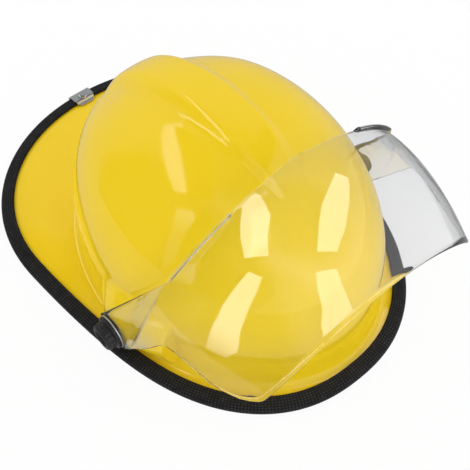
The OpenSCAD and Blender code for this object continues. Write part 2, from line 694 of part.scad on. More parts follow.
// Spring arm on the side s of the tongue, with its thumb pad in the socket's window
module release_arm(s) {
  color(black) translate([web_c - 2.2, 0, anchor_z]) mirror([0, 0, s > 0 ? 0 : 1]) {
    translate([0, socket_y + 10, 3.4]) cube([4.4, 13.8, 2.6]);
    translate([0, socket_y + 12.4, 5.5]) cube([4.4, 7.2, 2.7]);
  }
}
module release_arm_front() release_arm(1);
module release_arm_rear() release_arm(-1);

outer_shell();
edge_trim();
rear_clip();
clip_rivet();
visor();
visor_knob_right();
visor_knob_left();
clamp_washers();
friction_washers();
pivot_screws();
backing_washers();
impact_liner();
strap_keys();
crown_strap_long();
crown_strap_cross();
crown_pad();
headband_front();
brow_pad();
nape_band();
nape_pad();
ratchet_housing();
ratchet_pinion();
ratchet_knob();
chin_anchors();
anchor_rivets();
chin_strap();
strap_adjuster();
chin_cup();
buckle_socket();
buckle_plug();
release_arm_front();
release_arm_rear();
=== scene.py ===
import math

import bmesh
import bpy
import numpy as np
from mathutils import Matrix, Vector


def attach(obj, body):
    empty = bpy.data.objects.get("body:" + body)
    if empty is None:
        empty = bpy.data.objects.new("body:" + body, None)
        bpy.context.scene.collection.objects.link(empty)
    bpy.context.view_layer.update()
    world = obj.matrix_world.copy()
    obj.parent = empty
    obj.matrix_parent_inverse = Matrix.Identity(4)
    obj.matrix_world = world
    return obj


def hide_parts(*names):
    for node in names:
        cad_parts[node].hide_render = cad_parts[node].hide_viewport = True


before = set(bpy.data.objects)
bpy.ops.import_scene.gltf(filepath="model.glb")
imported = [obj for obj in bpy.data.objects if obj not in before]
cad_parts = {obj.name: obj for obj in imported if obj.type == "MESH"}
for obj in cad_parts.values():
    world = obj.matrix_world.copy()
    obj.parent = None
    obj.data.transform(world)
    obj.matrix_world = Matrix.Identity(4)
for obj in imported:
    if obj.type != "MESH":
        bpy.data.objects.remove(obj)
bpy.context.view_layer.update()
millimetre = 0.001


def smooth(a, b, t):
    k = np.clip((t - a) / (b - a), 0, 1)
    return k * k * (3 - 2 * k)


def mix(a, b, t):
    return a + (b - a) * t


# 1 in the middle of a seam or bead, falling off over its width
def nearby(distance, width):
    return np.exp(-((distance / width) ** 2))


def points(*parts):
    return np.stack(np.broadcast_arrays(*parts), -1)


def unit(v):
    return v / np.maximum(1e-9, np.linalg.norm(v, axis=-1, keepdims=True))


def turns(count, pinch=0):
    t = 2 * math.pi * np.arange(count) / count
    return t - pinch * np.sin(2 * t) / 2


def linear(colour):
    parts = [int(colour[k:k + 2], 16) / 255 for k in (1, 3, 5)]
    return [c / 12.92 if c <= 0.04045 else ((c + 0.055) / 1.055) ** 2.4 for c in parts] + [1]


# Adds a node; each socket is given a value, or another node's output to link
def addNode(tree, kind, sockets=None, output=0, **settings):
    node = tree.nodes.new("ShaderNode" + kind)
    for key, value in settings.items():
        setattr(node, key, value)
    for key, value in (sockets or {}).items():
        if isinstance(value, bpy.types.NodeSocket):
            tree.links.new(value, node.inputs[key])
        else:
            node.inputs[key].default_value = value
    return node.outputs[output] if node.outputs else None


def newMaterial(name, surface):
    material = bpy.data.materials.new(name)
    material.use_nodes = True
    tree = material.node_tree
    tree.nodes.clear()
    addNode(tree, "OutputMaterial", {"Surface": surface(tree)})
    return material


# A pattern's scale from the real size of one repeat, in millimetres
def perMetre(size):
    return 1 / (size * millimetre)


# Position on the piece in metres, from its mesh or from lengths along its surface
def place(tree, fromLengths=False, stretch=(1, 1, 1)):
    source = addNode(tree, "TexCoord", output="UV" if fromLengths else "Object")
    return addNode(tree, "Mapping", {"Vector": source, "Scale": stretch})


# A number or colour that goes from low to high as the pattern does
def between(tree, pattern, low, high, fromValue=0.35, toValue=0.65):
    share = addNode(tree, "MapRange", {"Value": pattern, "From Min": fromValue, "From Max": toValue})
    if isinstance(low, list):
        return addNode(tree, "Mix", {0: share, 6: low, 7: high}, output=2, data_type="RGBA")
    return addNode(tree, "Mix", {0: share, 2: low, 3: high}, data_type="FLOAT")


# Ribs both ways, multiplied. Each way: millimetres from rib to rib, and how much they waver. At a scale
# of 1 the wave texture repeats every 2 pi / 20 metres
def woven(tree, where, across, along):
    ways = [addNode(tree, "TexWave", {
        "Vector": where, "Scale": 2 * math.pi / 20 * perMetre(pitch), "Distortion": waver, "Detail": 1,
        "Detail Scale": 2}, bands_direction=axis) for axis, (pitch, waver) in zip("XY", (across, along))]
    return addNode(tree, "Math", {0: ways[0], 1: ways[1]}, operation="MULTIPLY")


# Yellow thermoplastic, injection moulded: glossy and even, with broad highlights that waver a little
def shellSurface(tree):
    where = place(tree)
    waves = addNode(tree, "TexNoise", {"Vector": where, "Scale": perMetre(30), "Detail": 1})
    tone = addNode(tree, "TexNoise", {"Vector": where, "Scale": perMetre(50)})
    haze = addNode(tree, "TexNoise", {"Vector": where, "Scale": perMetre(12), "Detail": 3})
    return addNode(tree, "BsdfPrincipled", {
        "Base Color": between(tree, tone, linear("#f1ce20"), linear("#f3d025")),
        "Roughness": between(tree, haze, 0.07, 0.1), "IOR": 1.5,
        "Normal": addNode(tree, "Bump", {"Height": waves, "Distance": 0.15 * millimetre})})


# Extruded rubber with a weave pressed in: matt and near black, with paler flecks. The weave is drawn
# about twice as coarse as a real one so that it shows
def trimSurface(tree):
    where = place(tree, True)
    weave = woven(tree, where, (2.4, 0.8), (2, 0.8))
    patches = addNode(tree, "TexNoise", {"Vector": where, "Scale": perMetre(6)})
    flecks = addNode(tree, "Math", {0: weave, 1: patches}, operation="MULTIPLY")
    grit = addNode(tree, "TexNoise", {"Vector": where, "Scale": perMetre(1.6), "Detail": 3, "Roughness": 0.7})
    wear = addNode(tree, "TexNoise", {"Vector": where, "Scale": perMetre(20)})
    pressed = addNode(tree, "Bump", {"Height": weave, "Distance": 0.2 * millimetre})
    return addNode(tree, "BsdfPrincipled", {
        "Base Color": between(tree, flecks, linear("#0e0e10"), linear("#3c3c40"), 0.1, 0.6),
        "Roughness": between(tree, wear, 0.6, 0.75), "IOR": 1.5, "Specular IOR Level": 0.3,
        "Normal": addNode(tree, "Bump", {"Height": grit, "Distance": 0.15 * millimetre, "Normal": pressed})})


# Zinc-plated steel: grey metal, lightly drawn along its length
def steelSurface(tree):
    where = place(tree, stretch=(1, 0.08, 1))
    drawn = addNode(tree, "TexNoise", {"Vector": where, "Scale": perMetre(0.6), "Detail": 3})
    return addNode(tree, "BsdfPrincipled", {
        "Base Color": linear("#cfd0d3"), "Metallic": 1, "Roughness": between(tree, drawn, 0.28, 0.42),
        "Normal": addNode(tree, "Bump", {"Height": drawn, "Distance": 0.008 * millimetre})})


# Clear polycarbonate sheet: shows what is behind it, a little greyed, with sharp reflections. Light
# passes it without a caustic, as through a thin sheet
def shieldSurface(tree):
    where = place(tree)
    waves = addNode(tree, "TexNoise", {"Vector": where, "Scale": perMetre(22), "Detail": 1})
    glass = addNode(tree, "BsdfPrincipled", {
        "Base Color": linear("#fafbfd"), "Transmission Weight": 1, "IOR": 1.58, "Roughness": 0.015,
        "Normal": addNode(tree, "Bump", {"Height": waves, "Distance": 0.12 * millimetre})})
    clear = addNode(tree, "BsdfTransparent", {"Color": linear("#f2f3f4")})
    isShadow = addNode(tree, "LightPath", output="Is Shadow Ray")
    return addNode(tree, "MixShader", {0: isShadow, 1: glass, 2: clear})


# Black nylon, injection moulded: satin, with a fine grain drawn a little coarse so that it shows
def nylonSurface(tree):
    where = place(tree)
    grain = addNode(tree, "TexNoise", {"Vector": where, "Scale": perMetre(0.5)})
    return addNode(tree, "BsdfPrincipled", {
        "Base Color": linear("#1b1b1e"), "Roughness": between(tree, grain, 0.38, 0.5), "IOR": 1.53,
        "Normal": addNode(tree, "Bump", {"Height": grain, "Distance": 0.015 * millimetre})})


# Rubber sheet, punched for the washers: smooth and dull
def washerSurface(tree):
    wear = addNode(tree, "TexNoise", {"Vector": place(tree), "Scale": perMetre(2)})
    return addNode(tree, "BsdfPrincipled", {
        "Base Color": linear("#242426"), "Roughness": between(tree, wear, 0.6, 0.75), "IOR": 1.5})


# Closed-cell foam: dull dark grey, with small cells
def foamSurface(tree):
    where = place(tree)
    cells = addNode(tree, "TexVoronoi", {"Vector": where, "Scale": perMetre(2.2)}, feature="DISTANCE_TO_EDGE")
    tone = addNode(tree, "TexNoise", {"Vector": where, "Scale": perMetre(10)})
    return addNode(tree, "BsdfPrincipled", {
        "Base Color": between(tree, tone, linear("#37383b"), linear("#424347")),
        "Roughness": 0.85, "IOR": 1.45,
        "Normal": addNode(tree, "Bump", {"Height": cells, "Distance": 0.4 * millimetre})})


# Polyester webbing: ribs across the strap, made of yarns that run along it. Both are drawn coarser
# than the real ones so that they show
def webbingSurface(tree):
    weave = woven(tree, place(tree, True), (1.8, 0.4), (1.4, 0.3))
    return addNode(tree, "BsdfPrincipled", {
        "Base Color": between(tree, weave, linear("#2a2b2e"), linear("#4c4d52"), 0, 0.8),
        "Roughness": 0.8, "IOR": 1.45, "Sheen Weight": 0.15,
        "Normal": addNode(tree, "Bump", {"Height": weave, "Distance": 0.3 * millimetre})})


# Knitted polyester cover: soft and dull, with rows of fine loops, drawn coarser than real ones
def coverSurface(tree):
    knit = woven(tree, place(tree, True), (1.6, 1), (1.3, 1))
    return addNode(tree, "BsdfPrincipled", {
        "Base Color": between(tree, knit, linear("#232427"), linear("#3a3b40"), 0, 0.8),
        "Roughness": 0.9, "IOR": 1.4, "Sheen Weight": 0.3,
        "Normal": addNode(tree, "Bump", {"Height": knit, "Distance": 0.25 * millimetre})})


# Twisted polyester thread: pale enough to show against the webbing
def threadSurface(tree):
    twist = addNode(tree, "TexNoise", {"Vector": place(tree), "Scale": perMetre(1)})
    return addNode(tree, "BsdfPrincipled", {
        "Base Color": between(tree, twist, linear("#6a6b70"), linear("#85868b")),
        "Roughness": 0.6, "IOR": 1.5})


shellPlastic = newMaterial("yellow thermoplastic", shellSurface)
trimRubber = newMaterial("trim rubber", trimSurface)
platedSteel = newMaterial("zinc-plated steel", steelSurface)
clearPlastic = newMaterial("clear polycarbonate", shieldSurface)
blackNylon = newMaterial("black nylon", nylonSurface)
washerRubber = newMaterial("washer rubber", washerSurface)
linerFoam = newMaterial("closed-cell foam", foamSurface)
webbing = newMaterial("polyester webbing", webbingSurface)
knitCover = newMaterial("knitted cover", coverSurface)
thread = newMaterial("sewing thread", threadSurface)
print("materials made")


def makeObject(name, vertices, faces, body, material, lengths=None, crisp=40):
    mesh = bpy.data.meshes.new(name)
    mesh.from_pydata((np.asarray(vertices) * millimetre).tolist(), [], faces)
    if lengths is not None:
        mesh.uv_layers.new(name="lengths").data.foreach_set("uv", lengths)
    shape = bmesh.new()
    shape.from_mesh(mesh)
    bmesh.ops.recalc_face_normals(shape, faces=shape.faces[:])
    shape.to_mesh(mesh)
    shape.free()
    mesh.shade_smooth()
    mesh.set_sharp_from_angle(angle=math.radians(crisp))
    mesh.materials.append(material)
    obj = bpy.data.objects.new(name, mesh)
    bpy.context.collection.objects.link(obj)
    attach(obj, body)
    return obj


def runningLength(grid, axis, closed):
    g = np.concatenate([grid, np.take(grid, [0], axis)], axis) if closed else grid
    steps = np.linalg.norm(np.diff(g, axis=axis), axis=-1).mean(1 - axis)
    return np.concatenate([[0], np.cumsum(steps)]) * millimetre


# Piece from a grid of points. A ring joins its last column to the first, a tube its last row to the
# first, poles close the first and last rows with a point, and caps close the first and last columns
def gridObject(name, grid, body, material, ring=False, tube=False, poles=None, caps=False, crisp=40):
    columns, rows = grid.shape[:2]
    i, j = np.meshgrid(np.arange(columns - (not ring)), np.arange(rows - (not tube)), indexing="ij")
    i, j = i.ravel(), j.ravel()
    a, b = (i + 1) % columns, (j + 1) % rows
    faces = np.stack([i * rows + j, a * rows + j, a * rows + b, i * rows + b], -1).tolist()
    u, v = runningLength(grid, 0, ring), runningLength(grid, 1, tube)
    lengths = np.stack([u[i], v[j], u[i + 1], v[j], u[i + 1], v[j + 1], u[i], v[j + 1]], -1).ravel()
    vertices = grid.reshape(-1, 3)
    extra = []
    if poles is not None:
        vertices = np.concatenate([vertices, poles])
        for pole, row in ((columns * rows, 0), (columns * rows + 1, rows - 1)):
            extra += [[pole, k * rows + row, (k + 1) % columns * rows + row] for k in range(columns)]
    if caps:
        extra += [list(range(rows)), list(range((columns - 1) * rows, columns * rows))]
    lengths = np.concatenate([lengths, np.zeros(2 * sum(len(f) for f in extra))])
    return makeObject(name, vertices, faces + extra, body, material, lengths, crisp)


# Closed outline with each corner rounded by its own reach, or by a common one
def rounded(corners, reach, steps=4):
    p = np.array([c[:2] for c in corners], float)
    out = []
    for k, corner in enumerate(corners):
        r = corner[2] if len(corner) > 2 else reach
        before, after = p[k - 1] - p[k], p[(k + 1) % len(p)] - p[k]
        before, after = (v * min(0.49, r / np.linalg.norm(v)) for v in (before, after))
        for t in (np.linspace(0, 1, steps + 1) if r else [0]):
            out.append(p[k] + (1 - t) ** 2 * before + t ** 2 * after)
    return np.array(out)


# Section swept along a path: the section's first axis points along side and its second along up
def swept(path, side, up, section):
    return path[:, None] + section[None, :, :1] * side[:, None] + section[None, :, 1:] * up[:, None]


def cutWith(obj, cutters):
    for cutter in cutters:
        cut = obj.modifiers.new("cut", "BOOLEAN")
        cut.operation, cut.solver, cut.object = "DIFFERENCE", "MANIFOLD", cutter
    bpy.context.view_layer.update()
    solid = obj.evaluated_get(bpy.context.evaluated_depsgraph_get())
    mesh = bpy.data.meshes.new_from_object(solid)
    obj.modifiers.clear()
    obj.data = mesh
    for cutter in cutters:
        bpy.data.objects.remove(cutter)


def rod(radius, start, end, sides=48):
    start, end = Vector(start) * millimetre, Vector(end) * millimetre
    mesh = bpy.data.meshes.new("rod")
    shape = bmesh.new()
    turn = (end - start).to_track_quat("Z", "Y").to_matrix().to_4x4()
    bmesh.ops.create_cone(
        shape, cap_ends=True, segments=sides, radius1=radius * millimetre, radius2=radius * millimetre,
        depth=(end - start).length, matrix=Matrix.Translation((start + end) / 2) @ turn)
    shape.to_mesh(mesh)
    shape.free()
    obj = bpy.data.objects.new("rod", mesh)
    bpy.context.collection.objects.link(obj)
    return obj


# Shell: one yellow moulding. Sizes here and below are in millimetres
shellShape = {
    "brimWidth": 288, "brimFront": 157, "brimRear": 219, "widestY": 76, "frontPower": 2.27, "rearPower": 2.08,
    "waist": 0.047, "waistY": 8, "waistSpan": 105, "brimSlope": 7, "edgeIn": 4, "edgeTop": 5.6, "wall": 3,
    "crownX": 107.1, "crownY": 138.4, "crownZ": 121.3, "crownMid": 46.7, "crownFoot": -8,
    "podX": 120, "podFlat": 18, "podFall": 0.64, "podSquash": 1.3, "podTop": 62, "podFade": 6,
    "podFront": 57.6, "podStep": 0.9, "stepColumns": 4,
    "filletReach": 8, "filletBend": 0.5, "trimWidth": 11.4, "joinGap": 0.3,
    "columns": 288, "crownRows": 64, "filletRows": 14, "brimRows": 8, "pinch": 0.35,
}
# The ridge is narrow in front and broad and low behind, where a hollow runs along each side of it
ridgeShape = {
    "height": 4, "rearShare": 0.6, "width": 12, "tipShare": 0.1, "frontFlank": 9, "rearFlank": 14,
    "startY": -108, "fullY": -20, "frontY": -30, "rearY": 70, "lowZ": 35, "highZ": 95,
    "hollow": 4.5, "hollowIn": 4, "hollowOut": 46, "hollowLowZ": 100, "hollowHighZ": 130,
}
pivot = {"front": 20.8, "z": 30, "screwRadius": 2.5}
clipShape = {
    "rivetRadius": 2, "rivetY": 211, "rivetGap": 0.1, "headRadius": 4.2, "seat": 11.1, "foot": 0.6,
    "dome": 1.8, "domeFoot": 0.5, "domePower": 0.8, "sides": 64,
}


def pivotHoles(gap, start, end):
    y, z = -pivot["front"], pivot["z"]
    return [rod(pivot["screwRadius"] + gap, (side * start, y, z), (side * end, y, z)) for side in (-1, 1)]


def rivetHole(low, high):
    c = clipShape
    return rod(c["rivetRadius"] + c["rivetGap"], (0, c["rivetY"], low), (0, c["rivetY"], high))


def outlineGap(x, y):
    s = shellShape
    rear = y > s["widestY"]
    power = np.where(rear, s["rearPower"], s["frontPower"])
    reach = np.where(rear, s["brimRear"] - s["widestY"], s["widestY"] + s["brimFront"])
    waist = 1 - s["waist"] * nearby(y - s["waistY"], s["waistSpan"])
    across, along = np.abs(x) / (s["brimWidth"] / 2 * waist), np.abs(y - s["widestY"]) / reach
    return across ** power + along ** power - 1


# The brim's outline at each plan angle, found by halving between a radius inside it and one outside
def outline(angles, nearest=60.0, farthest=300.0, halvings=26):
    low, high = np.full(angles.shape, nearest), np.full(angles.shape, farthest)
    for _ in range(halvings):
        middle = (low + high) / 2
        outside = outlineGap(middle * np.sin(angles), -middle * np.cos(angles)) > 0
        low, high = np.where(outside, low, middle), np.where(outside, middle, high)
    return points(middle * np.sin(angles), -middle * np.cos(angles))


def outlineInside(angles, depth, step=math.radians(1)):
    along = unit(outline(angles + step) - outline(angles - step))
    return outline(angles) + depth * points(-along[..., 1], along[..., 0])


def crownRing(angles):
    s = shellShape
    return 1 / np.sqrt((np.sin(angles) / s["crownX"]) ** 2 + (np.cos(angles) / s["crownY"]) ** 2)


# Height over the plain crown: the ridge, and the hollows beside it towards the back
def ridgeAt(x, y, z):
    r = ridgeShape
    back, grown = smooth(r["frontY"], r["rearY"], y), smooth(r["startY"], r["fullY"], y)
    top = r["width"] * mix(r["tipShare"], 1, grown)
    foot = top + mix(r["frontFlank"], r["rearFlank"], back)
    fall = smooth(top, foot, np.abs(x))
    beside = 1 - smooth(foot + r["hollowIn"], foot + r["hollowOut"], np.abs(x))
    ridge = r["height"] * mix(1, r["rearShare"], back) * grown * (1 - fall)
    hollow = r["hollow"] * back * fall * beside * smooth(r["hollowLowZ"], r["hollowHighZ"], z)
    return (ridge - hollow) * smooth(r["lowZ"], r["highZ"], z)


# The pods push the crown's sides out to a flat face round each pivot, and stand proud from an angle on
def podPush(p):
    s = shellShape
    away = np.hypot(p[..., 1] + pivot["front"], s["podSquash"] * (p[..., 2] - pivot["z"]))
    want = s["podX"] - s["podFall"] * np.maximum(0, away - s["podFlat"])
    fromFront = np.degrees(np.arctan2(np.abs(p[..., 0]), -p[..., 1]))
    isOpen = smooth(s["podFront"], s["podFront"] + s["podStep"], fromFront) * (
        1 - smooth(s["podTop"] - s["podFade"], s["podTop"], p[..., 2]))
    more = np.maximum(0, want - np.abs(p[..., 0])) * isOpen
    out = p.copy()
    out[..., 0] += np.sign(p[..., 0]) * more
    return out


def crownPoints(angles, tilt):
    s = shellShape
    ring = crownRing(angles) * np.cos(tilt)
    p = points(ring * np.sin(angles), -ring * np.cos(angles), s["crownMid"] + s["crownZ"] * np.sin(tilt))
    outward = unit(points(p[..., 0] / s["crownX"] ** 2, p[..., 1] / s["crownY"] ** 2,
                          (p[..., 2] - s["crownMid"]) / s["crownZ"] ** 2))
    return p + outward * ridgeAt(p[..., 0], p[..., 1], p[..., 2])[..., None]


# Columns go round from the front, closer at the pods' front edges, and rows go from the top of the
# crown down its foot's fillet to the edge of the brim
def shellGrid():
    s = shellShape
    step = np.radians(s["podFront"] + s["podStep"] * np.linspace(0, 1, s["stepColumns"]))
    angles = np.sort(np.concatenate([turns(s["columns"], s["pinch"]), step, 2 * math.pi - step]))[:, None]
    foot = math.radians(s["crownFoot"])
    tilt = mix(math.pi / 2, foot, np.arange(1, s["crownRows"] + 1) / s["crownRows"])[None, :]
    crown = podPush(crownPoints(angles, tilt))

    edge = outlineInside(angles, s["edgeIn"])
    edgeRadius = np.linalg.norm(edge, axis=-1)
    slope = math.tan(math.radians(s["brimSlope"]))
    footRadius = crownRing(angles) * math.cos(foot)
    footZ = s["crownMid"] + s["crownZ"] * math.sin(foot)
    joinRadius = np.minimum(
        footRadius + s["filletReach"], edgeRadius - s["trimWidth"] + s["edgeIn"] - s["joinGap"])
    joinZ = s["edgeTop"] + (edgeRadius - joinRadius) * slope
    bendZ = s["edgeTop"] + (edgeRadius - footRadius) * slope
    t = np.arange(1, s["filletRows"] + 1)[None, :] / s["filletRows"]
    r = footRadius * (1 - t) ** 2 + 2 * (footRadius - s["filletBend"]) * t * (1 - t) + joinRadius * t * t
    z = footZ * (1 - t) ** 2 + 2 * bendZ * t * (1 - t) + joinZ * t * t
    fillet = podPush(points(r * np.sin(angles), -r * np.cos(angles), z))
    k = (np.arange(1, s["brimRows"] + 1) / s["brimRows"])[None, :, None]
    rim = np.concatenate([edge, np.full(edge.shape[:-1] + (1,), s["edgeTop"])], -1)
    brim = mix(fillet[:, -1:], rim, k)
    return np.concatenate([crown, fillet, brim], 1)


def makeShell():
    s = shellShape
    outside = shellGrid()
    along = np.roll(outside, -1, 0) - np.roll(outside, 1, 0)
    inside = outside - s["wall"] * unit(np.cross(np.gradient(outside, axis=1), along))
    top = s["crownMid"] + s["crownZ"] + ridgeShape["height"]
    shell = gridObject(
        "shell_moulding", np.concatenate([outside, inside[:, ::-1]], 1), "shell", shellPlastic,
        ring=True, poles=[[0, 0, top], [0, 0, top - s["wall"]]])
    cutWith(shell, pivotHoles(gap=0.2, start=108, end=124) + [rivetHole(low=0, high=14)])
    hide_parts("outer_shell")


makeShell()
print("shell made")


# Trim: a soft channel pushed over the brim's edge
trimShape = {"height": 8.6, "slot": 0.5, "columns": 560, "round": 1.0}


def makeTrim():
    t, s = trimShape, shellShape
    w, h = s["trimWidth"], t["height"]
    lift = math.tan(math.radians(s["brimSlope"])) * (w - s["edgeIn"])
    low, high = s["edgeTop"] - s["wall"] - t["slot"], s["edgeTop"] + t["slot"]
    slotIn = s["edgeIn"] - s["joinGap"]
    # Corners: distance in from the outer edge, height, and how far the corner is rounded
    section = rounded([
        (1.8, 0, 0.6), (w - 1.4, 0, 0.8), (w, 1.2, 0.8), (w, low + lift, 0.3), (slotIn, low, 0),
        (slotIn, high, 0), (w, high + lift, 0.3), (w, h + lift - 0.6, 0.4), (w - 1.2, h + lift - 0.1),
        (3.6, h, 1.8), (1.4, h - 0.9), (0, h - 2.8, 1.8), (0, 2.2), (0.6, 0.8, 0.6)], t["round"])
    angles = turns(t["columns"], s["pinch"])
    grid = np.stack([np.concatenate([outlineInside(angles, d), np.full((t["columns"], 1), z)], -1)
                     for d, z in section], 1)
    trim = gridObject("edge_channel", grid, "shell", trimRubber, ring=True, tube=True)
    cutWith(trim, [rivetHole(low=-1, high=19)])
    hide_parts("edge_trim")


makeTrim()
print("trim made")


# Face shield: an arch with flat folded ears and a standing lip at each upper corner. In its own plane
# s runs along the arch's axis, n across it, and off is the distance outside the middle of its wall.
# Tilts are degrees round the arch from its top; the corner is where the ear meets the upper edge
shieldShape = {
    "earX": 122.9, "rise": 149, "wall": 2.2, "droop": 17, "midN": 43, "earRadius": 16, "edgeRound": 0.8,
    "taper": 6, "taperFrom": 20, "taperSpan": 96, "cornerT": 51.1, "cornerS": 25.3, "topS": 15.5,
    "swell": 9, "swellFrom": 17, "swellSpan": 106, "swellPower": 0.82, "swellLowN": 45, "swellFullN": 110,
    "lowS": 116, "lowRise": 5.6, "lowRiseT": 52, "earFlare": 1.4, "flareN": 18,
    "sideN": [36, 65, 103, 108.5, 111, 113.5, 115, 117, 121.5, 126.5, 131, 134.5],
    "sideS": [29.5, 39, 51, 55.5, 62, 72.7, 91, 99, 110, 116.6, 120.6, 121.8],
    "foldDeep": 6, "foldFoot": 45, "creaseFoot": 30, "creaseBow": 6, "crease": 1.0, "bead": 0.25,
    "creaseTop": 2.2, "creaseLow": 1.2, "lipHeight": 4.5, "lipWall": 2.6, "lipFrom": 24.4, "lipFull": 25.2,
    "lipFade": 4, "lipStop": 0.2, "foldRows": 7, "wallRows": 26,
    "earTurns": [4, 9, 15, 22, 30, 38, 46, 54, 62, 70, 78, 86],
    "tilts": [*np.arange(88, 51.5, -1), 51.1, 50.8, 50.4, 50, 49.6, 49.2, *np.arange(48.5, 26, -1),
              25.6, 25.2, 25, 24.8, 24.6, 24.4, 24.1, *np.arange(23.5, 0, -1)],
}


def inShieldPlane(x, s, n):
    droop = math.radians(shieldShape["droop"])
    return points(x, -s * math.cos(droop) - n * math.sin(droop), -s * math.sin(droop) + n * math.cos(droop))


def archTilt(n):
    return np.degrees(np.arccos(np.clip((n - shieldShape["midN"]) / shieldShape["rise"], 0, 1)))


def archHeight(tilt):
    return shieldShape["midN"] + shieldShape["rise"] * np.cos(np.radians(tilt))


def pivotInPlane():
    droop = math.radians(shieldShape["droop"])
    return (pivot["front"] * math.cos(droop) - pivot["z"] * math.sin(droop),
            pivot["front"] * math.sin(droop) + pivot["z"] * math.cos(droop))


# How far the sheet bulges past a straight barrel
def swellAt(n, s):
    v = shieldShape
    k = np.clip((s - v["swellFrom"]) / v["swellSpan"], 0, 1) ** v["swellPower"]
    return v["swell"] * 4 * k * (1 - k) * smooth(v["swellLowN"], v["swellFullN"], n)


def topEdge(n):
    v = shieldShape
    ps, pn = pivotInPlane()
    cornerN = archHeight(v["cornerT"])
    high = mix(v["topS"], v["cornerS"], archTilt(n) / v["cornerT"])
    side = mix(ps - v["earRadius"], v["cornerS"], (n - pn) / (cornerN - pn))
    ear = ps - np.sqrt(np.maximum(0, v["earRadius"] ** 2 - (n - pn) ** 2))
    return np.where(n >= cornerN, high, np.where(n >= pn, side, ear))


def lowEdge(n):
    v = shieldShape
    ps, pn = pivotInPlane()
    risen = np.clip(archTilt(n) / v["lowRiseT"], 0, 1)
    high = v["lowS"] + v["lowRise"] * np.sin(np.radians(90 * risen)) ** 2
    side = np.interp(n, v["sideN"], v["sideS"])
    ear = ps + np.sqrt(np.maximum(0, v["earRadius"] ** 2 - (n - pn) ** 2)) + (
        smooth(v["flareN"], v["sideN"][0], n) * v["earFlare"])
    return np.where(n >= v["sideN"][-1], high, np.where(n >= v["sideN"][0], side, ear))


# The ear is a flat sheet from the crease to its rear edge, so it lies inside the arch
def foldShare(n):
    v = shieldShape
    return np.clip((n - v["foldFoot"]) / (archHeight(v["cornerT"]) - v["foldFoot"]), 0, 1)


def creaseAt(n):
    v, k = shieldShape, foldShare(n)
    return mix(v["creaseFoot"], v["cornerS"], k) + v["creaseBow"] * np.sin(math.pi * k)


def foldIn(n, s):
    k = foldShare(n)
    width = np.maximum(1, creaseAt(n) - topEdge(n))
    return 4 * k * (1 - k) * shieldShape["foldDeep"] * np.clip((creaseAt(n) - s) / width, 0, 1)


def shieldPoint(side, n, s, off):
    v = shieldShape
    half = v["earX"] - v["taper"] * np.clip((s - v["taperFrom"]) / v["taperSpan"], 0, 1)
    k = np.clip((n - v["midN"]) / v["rise"], 0, 1)
    x = np.where(n <= v["midN"], v["earX"], half * np.sqrt(np.maximum(0, 1 - k * k)))
    nx, nn = x / half / half, np.maximum(0, n - v["midN"]) / v["rise"] ** 2
    length = np.hypot(nx, nn)
    d = off + swellAt(n, s)
    return inShieldPlane(side * (x - foldIn(n, s) + d * nx / length), s, n + d * nn / length)


# One closed outline round the wall at the height n: up the inside, over the top edge or lip, down the
# outside and round the lower edge. A corner goes over the points at r, e and 0 from it
def shieldRing(side, n):
    v = shieldShape
    tilt, half, r, e = archTilt(n), v["wall"] / 2, v["edgeRound"], 0.3 * v["edgeRound"]
    top, low = topEdge(n), lowEdge(n)
    crease = np.clip(creaseAt(n), top + v["creaseTop"], low - r - v["creaseLow"])
    up = np.concatenate([mix(top + r, crease - v["crease"], np.linspace(0, 1, v["foldRows"])),
                         crease + v["crease"] * np.array([-0.5, 0, 0.5]),
                         mix(crease + v["crease"], low - r, np.linspace(0, 1, v["wallRows"]))])
    stand = smooth(v["lipFrom"], v["lipFull"], tilt) * (
        1 - smooth(v["cornerT"] - v["lipFade"], v["cornerT"] - v["lipStop"], tilt))
    high = half + (v["lipHeight"] - half) * stand
    back = top + v["lipWall"]
    rs, es = r * stand, e * stand
    lip = [(top + e, -half + e), (top, -half + r), (top, high - r), (top + e, high - e), (top + r, high),
           (back - rs, high), (back - es, high - es), (back, high - rs), (back, half + rs),
           (back + es, half + es), (back + rs, half)]
    outside = up[up > back + rs + 0.2]
    # As many rows in every ring: those that the lip takes are laid along its foot
    missing = len(up) - len(outside)
    outside = np.concatenate([np.linspace(back + rs + 0.05, back + rs + 0.2, missing), outside])
    end = [(low - e, half - e), (low, half - r), (low, r - half), (low - e, e - half)]
    s = np.concatenate([up[::-1], [p[0] for p in lip], outside, [p[0] for p in end]])
    wall = np.full(len(up), half)
    off = np.concatenate([-wall, [p[1] for p in lip], wall, [p[1] for p in end]])
    raised = smooth(v["foldFoot"] - 3, v["foldFoot"] + 5, n) * (1 - smooth(0.85, 1, foldShare(n)))
    off = off + v["bead"] * raised * nearby(s - crease, 0.5 * v["crease"])
    return shieldPoint(side, np.full(len(s), float(n)), s, off)


def makeShield():
    v = shieldShape
    pn = pivotInPlane()[1]
    ear = pn - v["earRadius"] * np.cos(np.radians(v["earTurns"]))
    arch = archHeight(np.array(v["tilts"]))
    heights = np.concatenate([ear, np.arange(pn, v["midN"], 3), [v["foldFoot"]], arch])
    heights = np.unique(np.round(heights, 3))
    rings = [shieldRing(-1, n) for n in heights] + [shieldRing(1, v["midN"] + v["rise"])]
    rings += [shieldRing(1, n) for n in heights[::-1]]
    shield = gridObject("shield_sheet", np.stack(rings), "visor", clearPlastic,
                        tube=True, caps=True, crisp=50)
    cutWith(shield, pivotHoles(gap=0.05, start=118, end=128))
    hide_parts("visor")


makeShield()
print("face shield made")


# Clamping knobs, fluted round the grip
knobShape = {
    "foot": 125.6, "bore": 2.55, "grip": 11, "length": 9.5, "flutes": 10, "fluteRadius": 2.6, "fluteAt": 13.1,
    "fluteFrom": 3, "sides": 240,
}


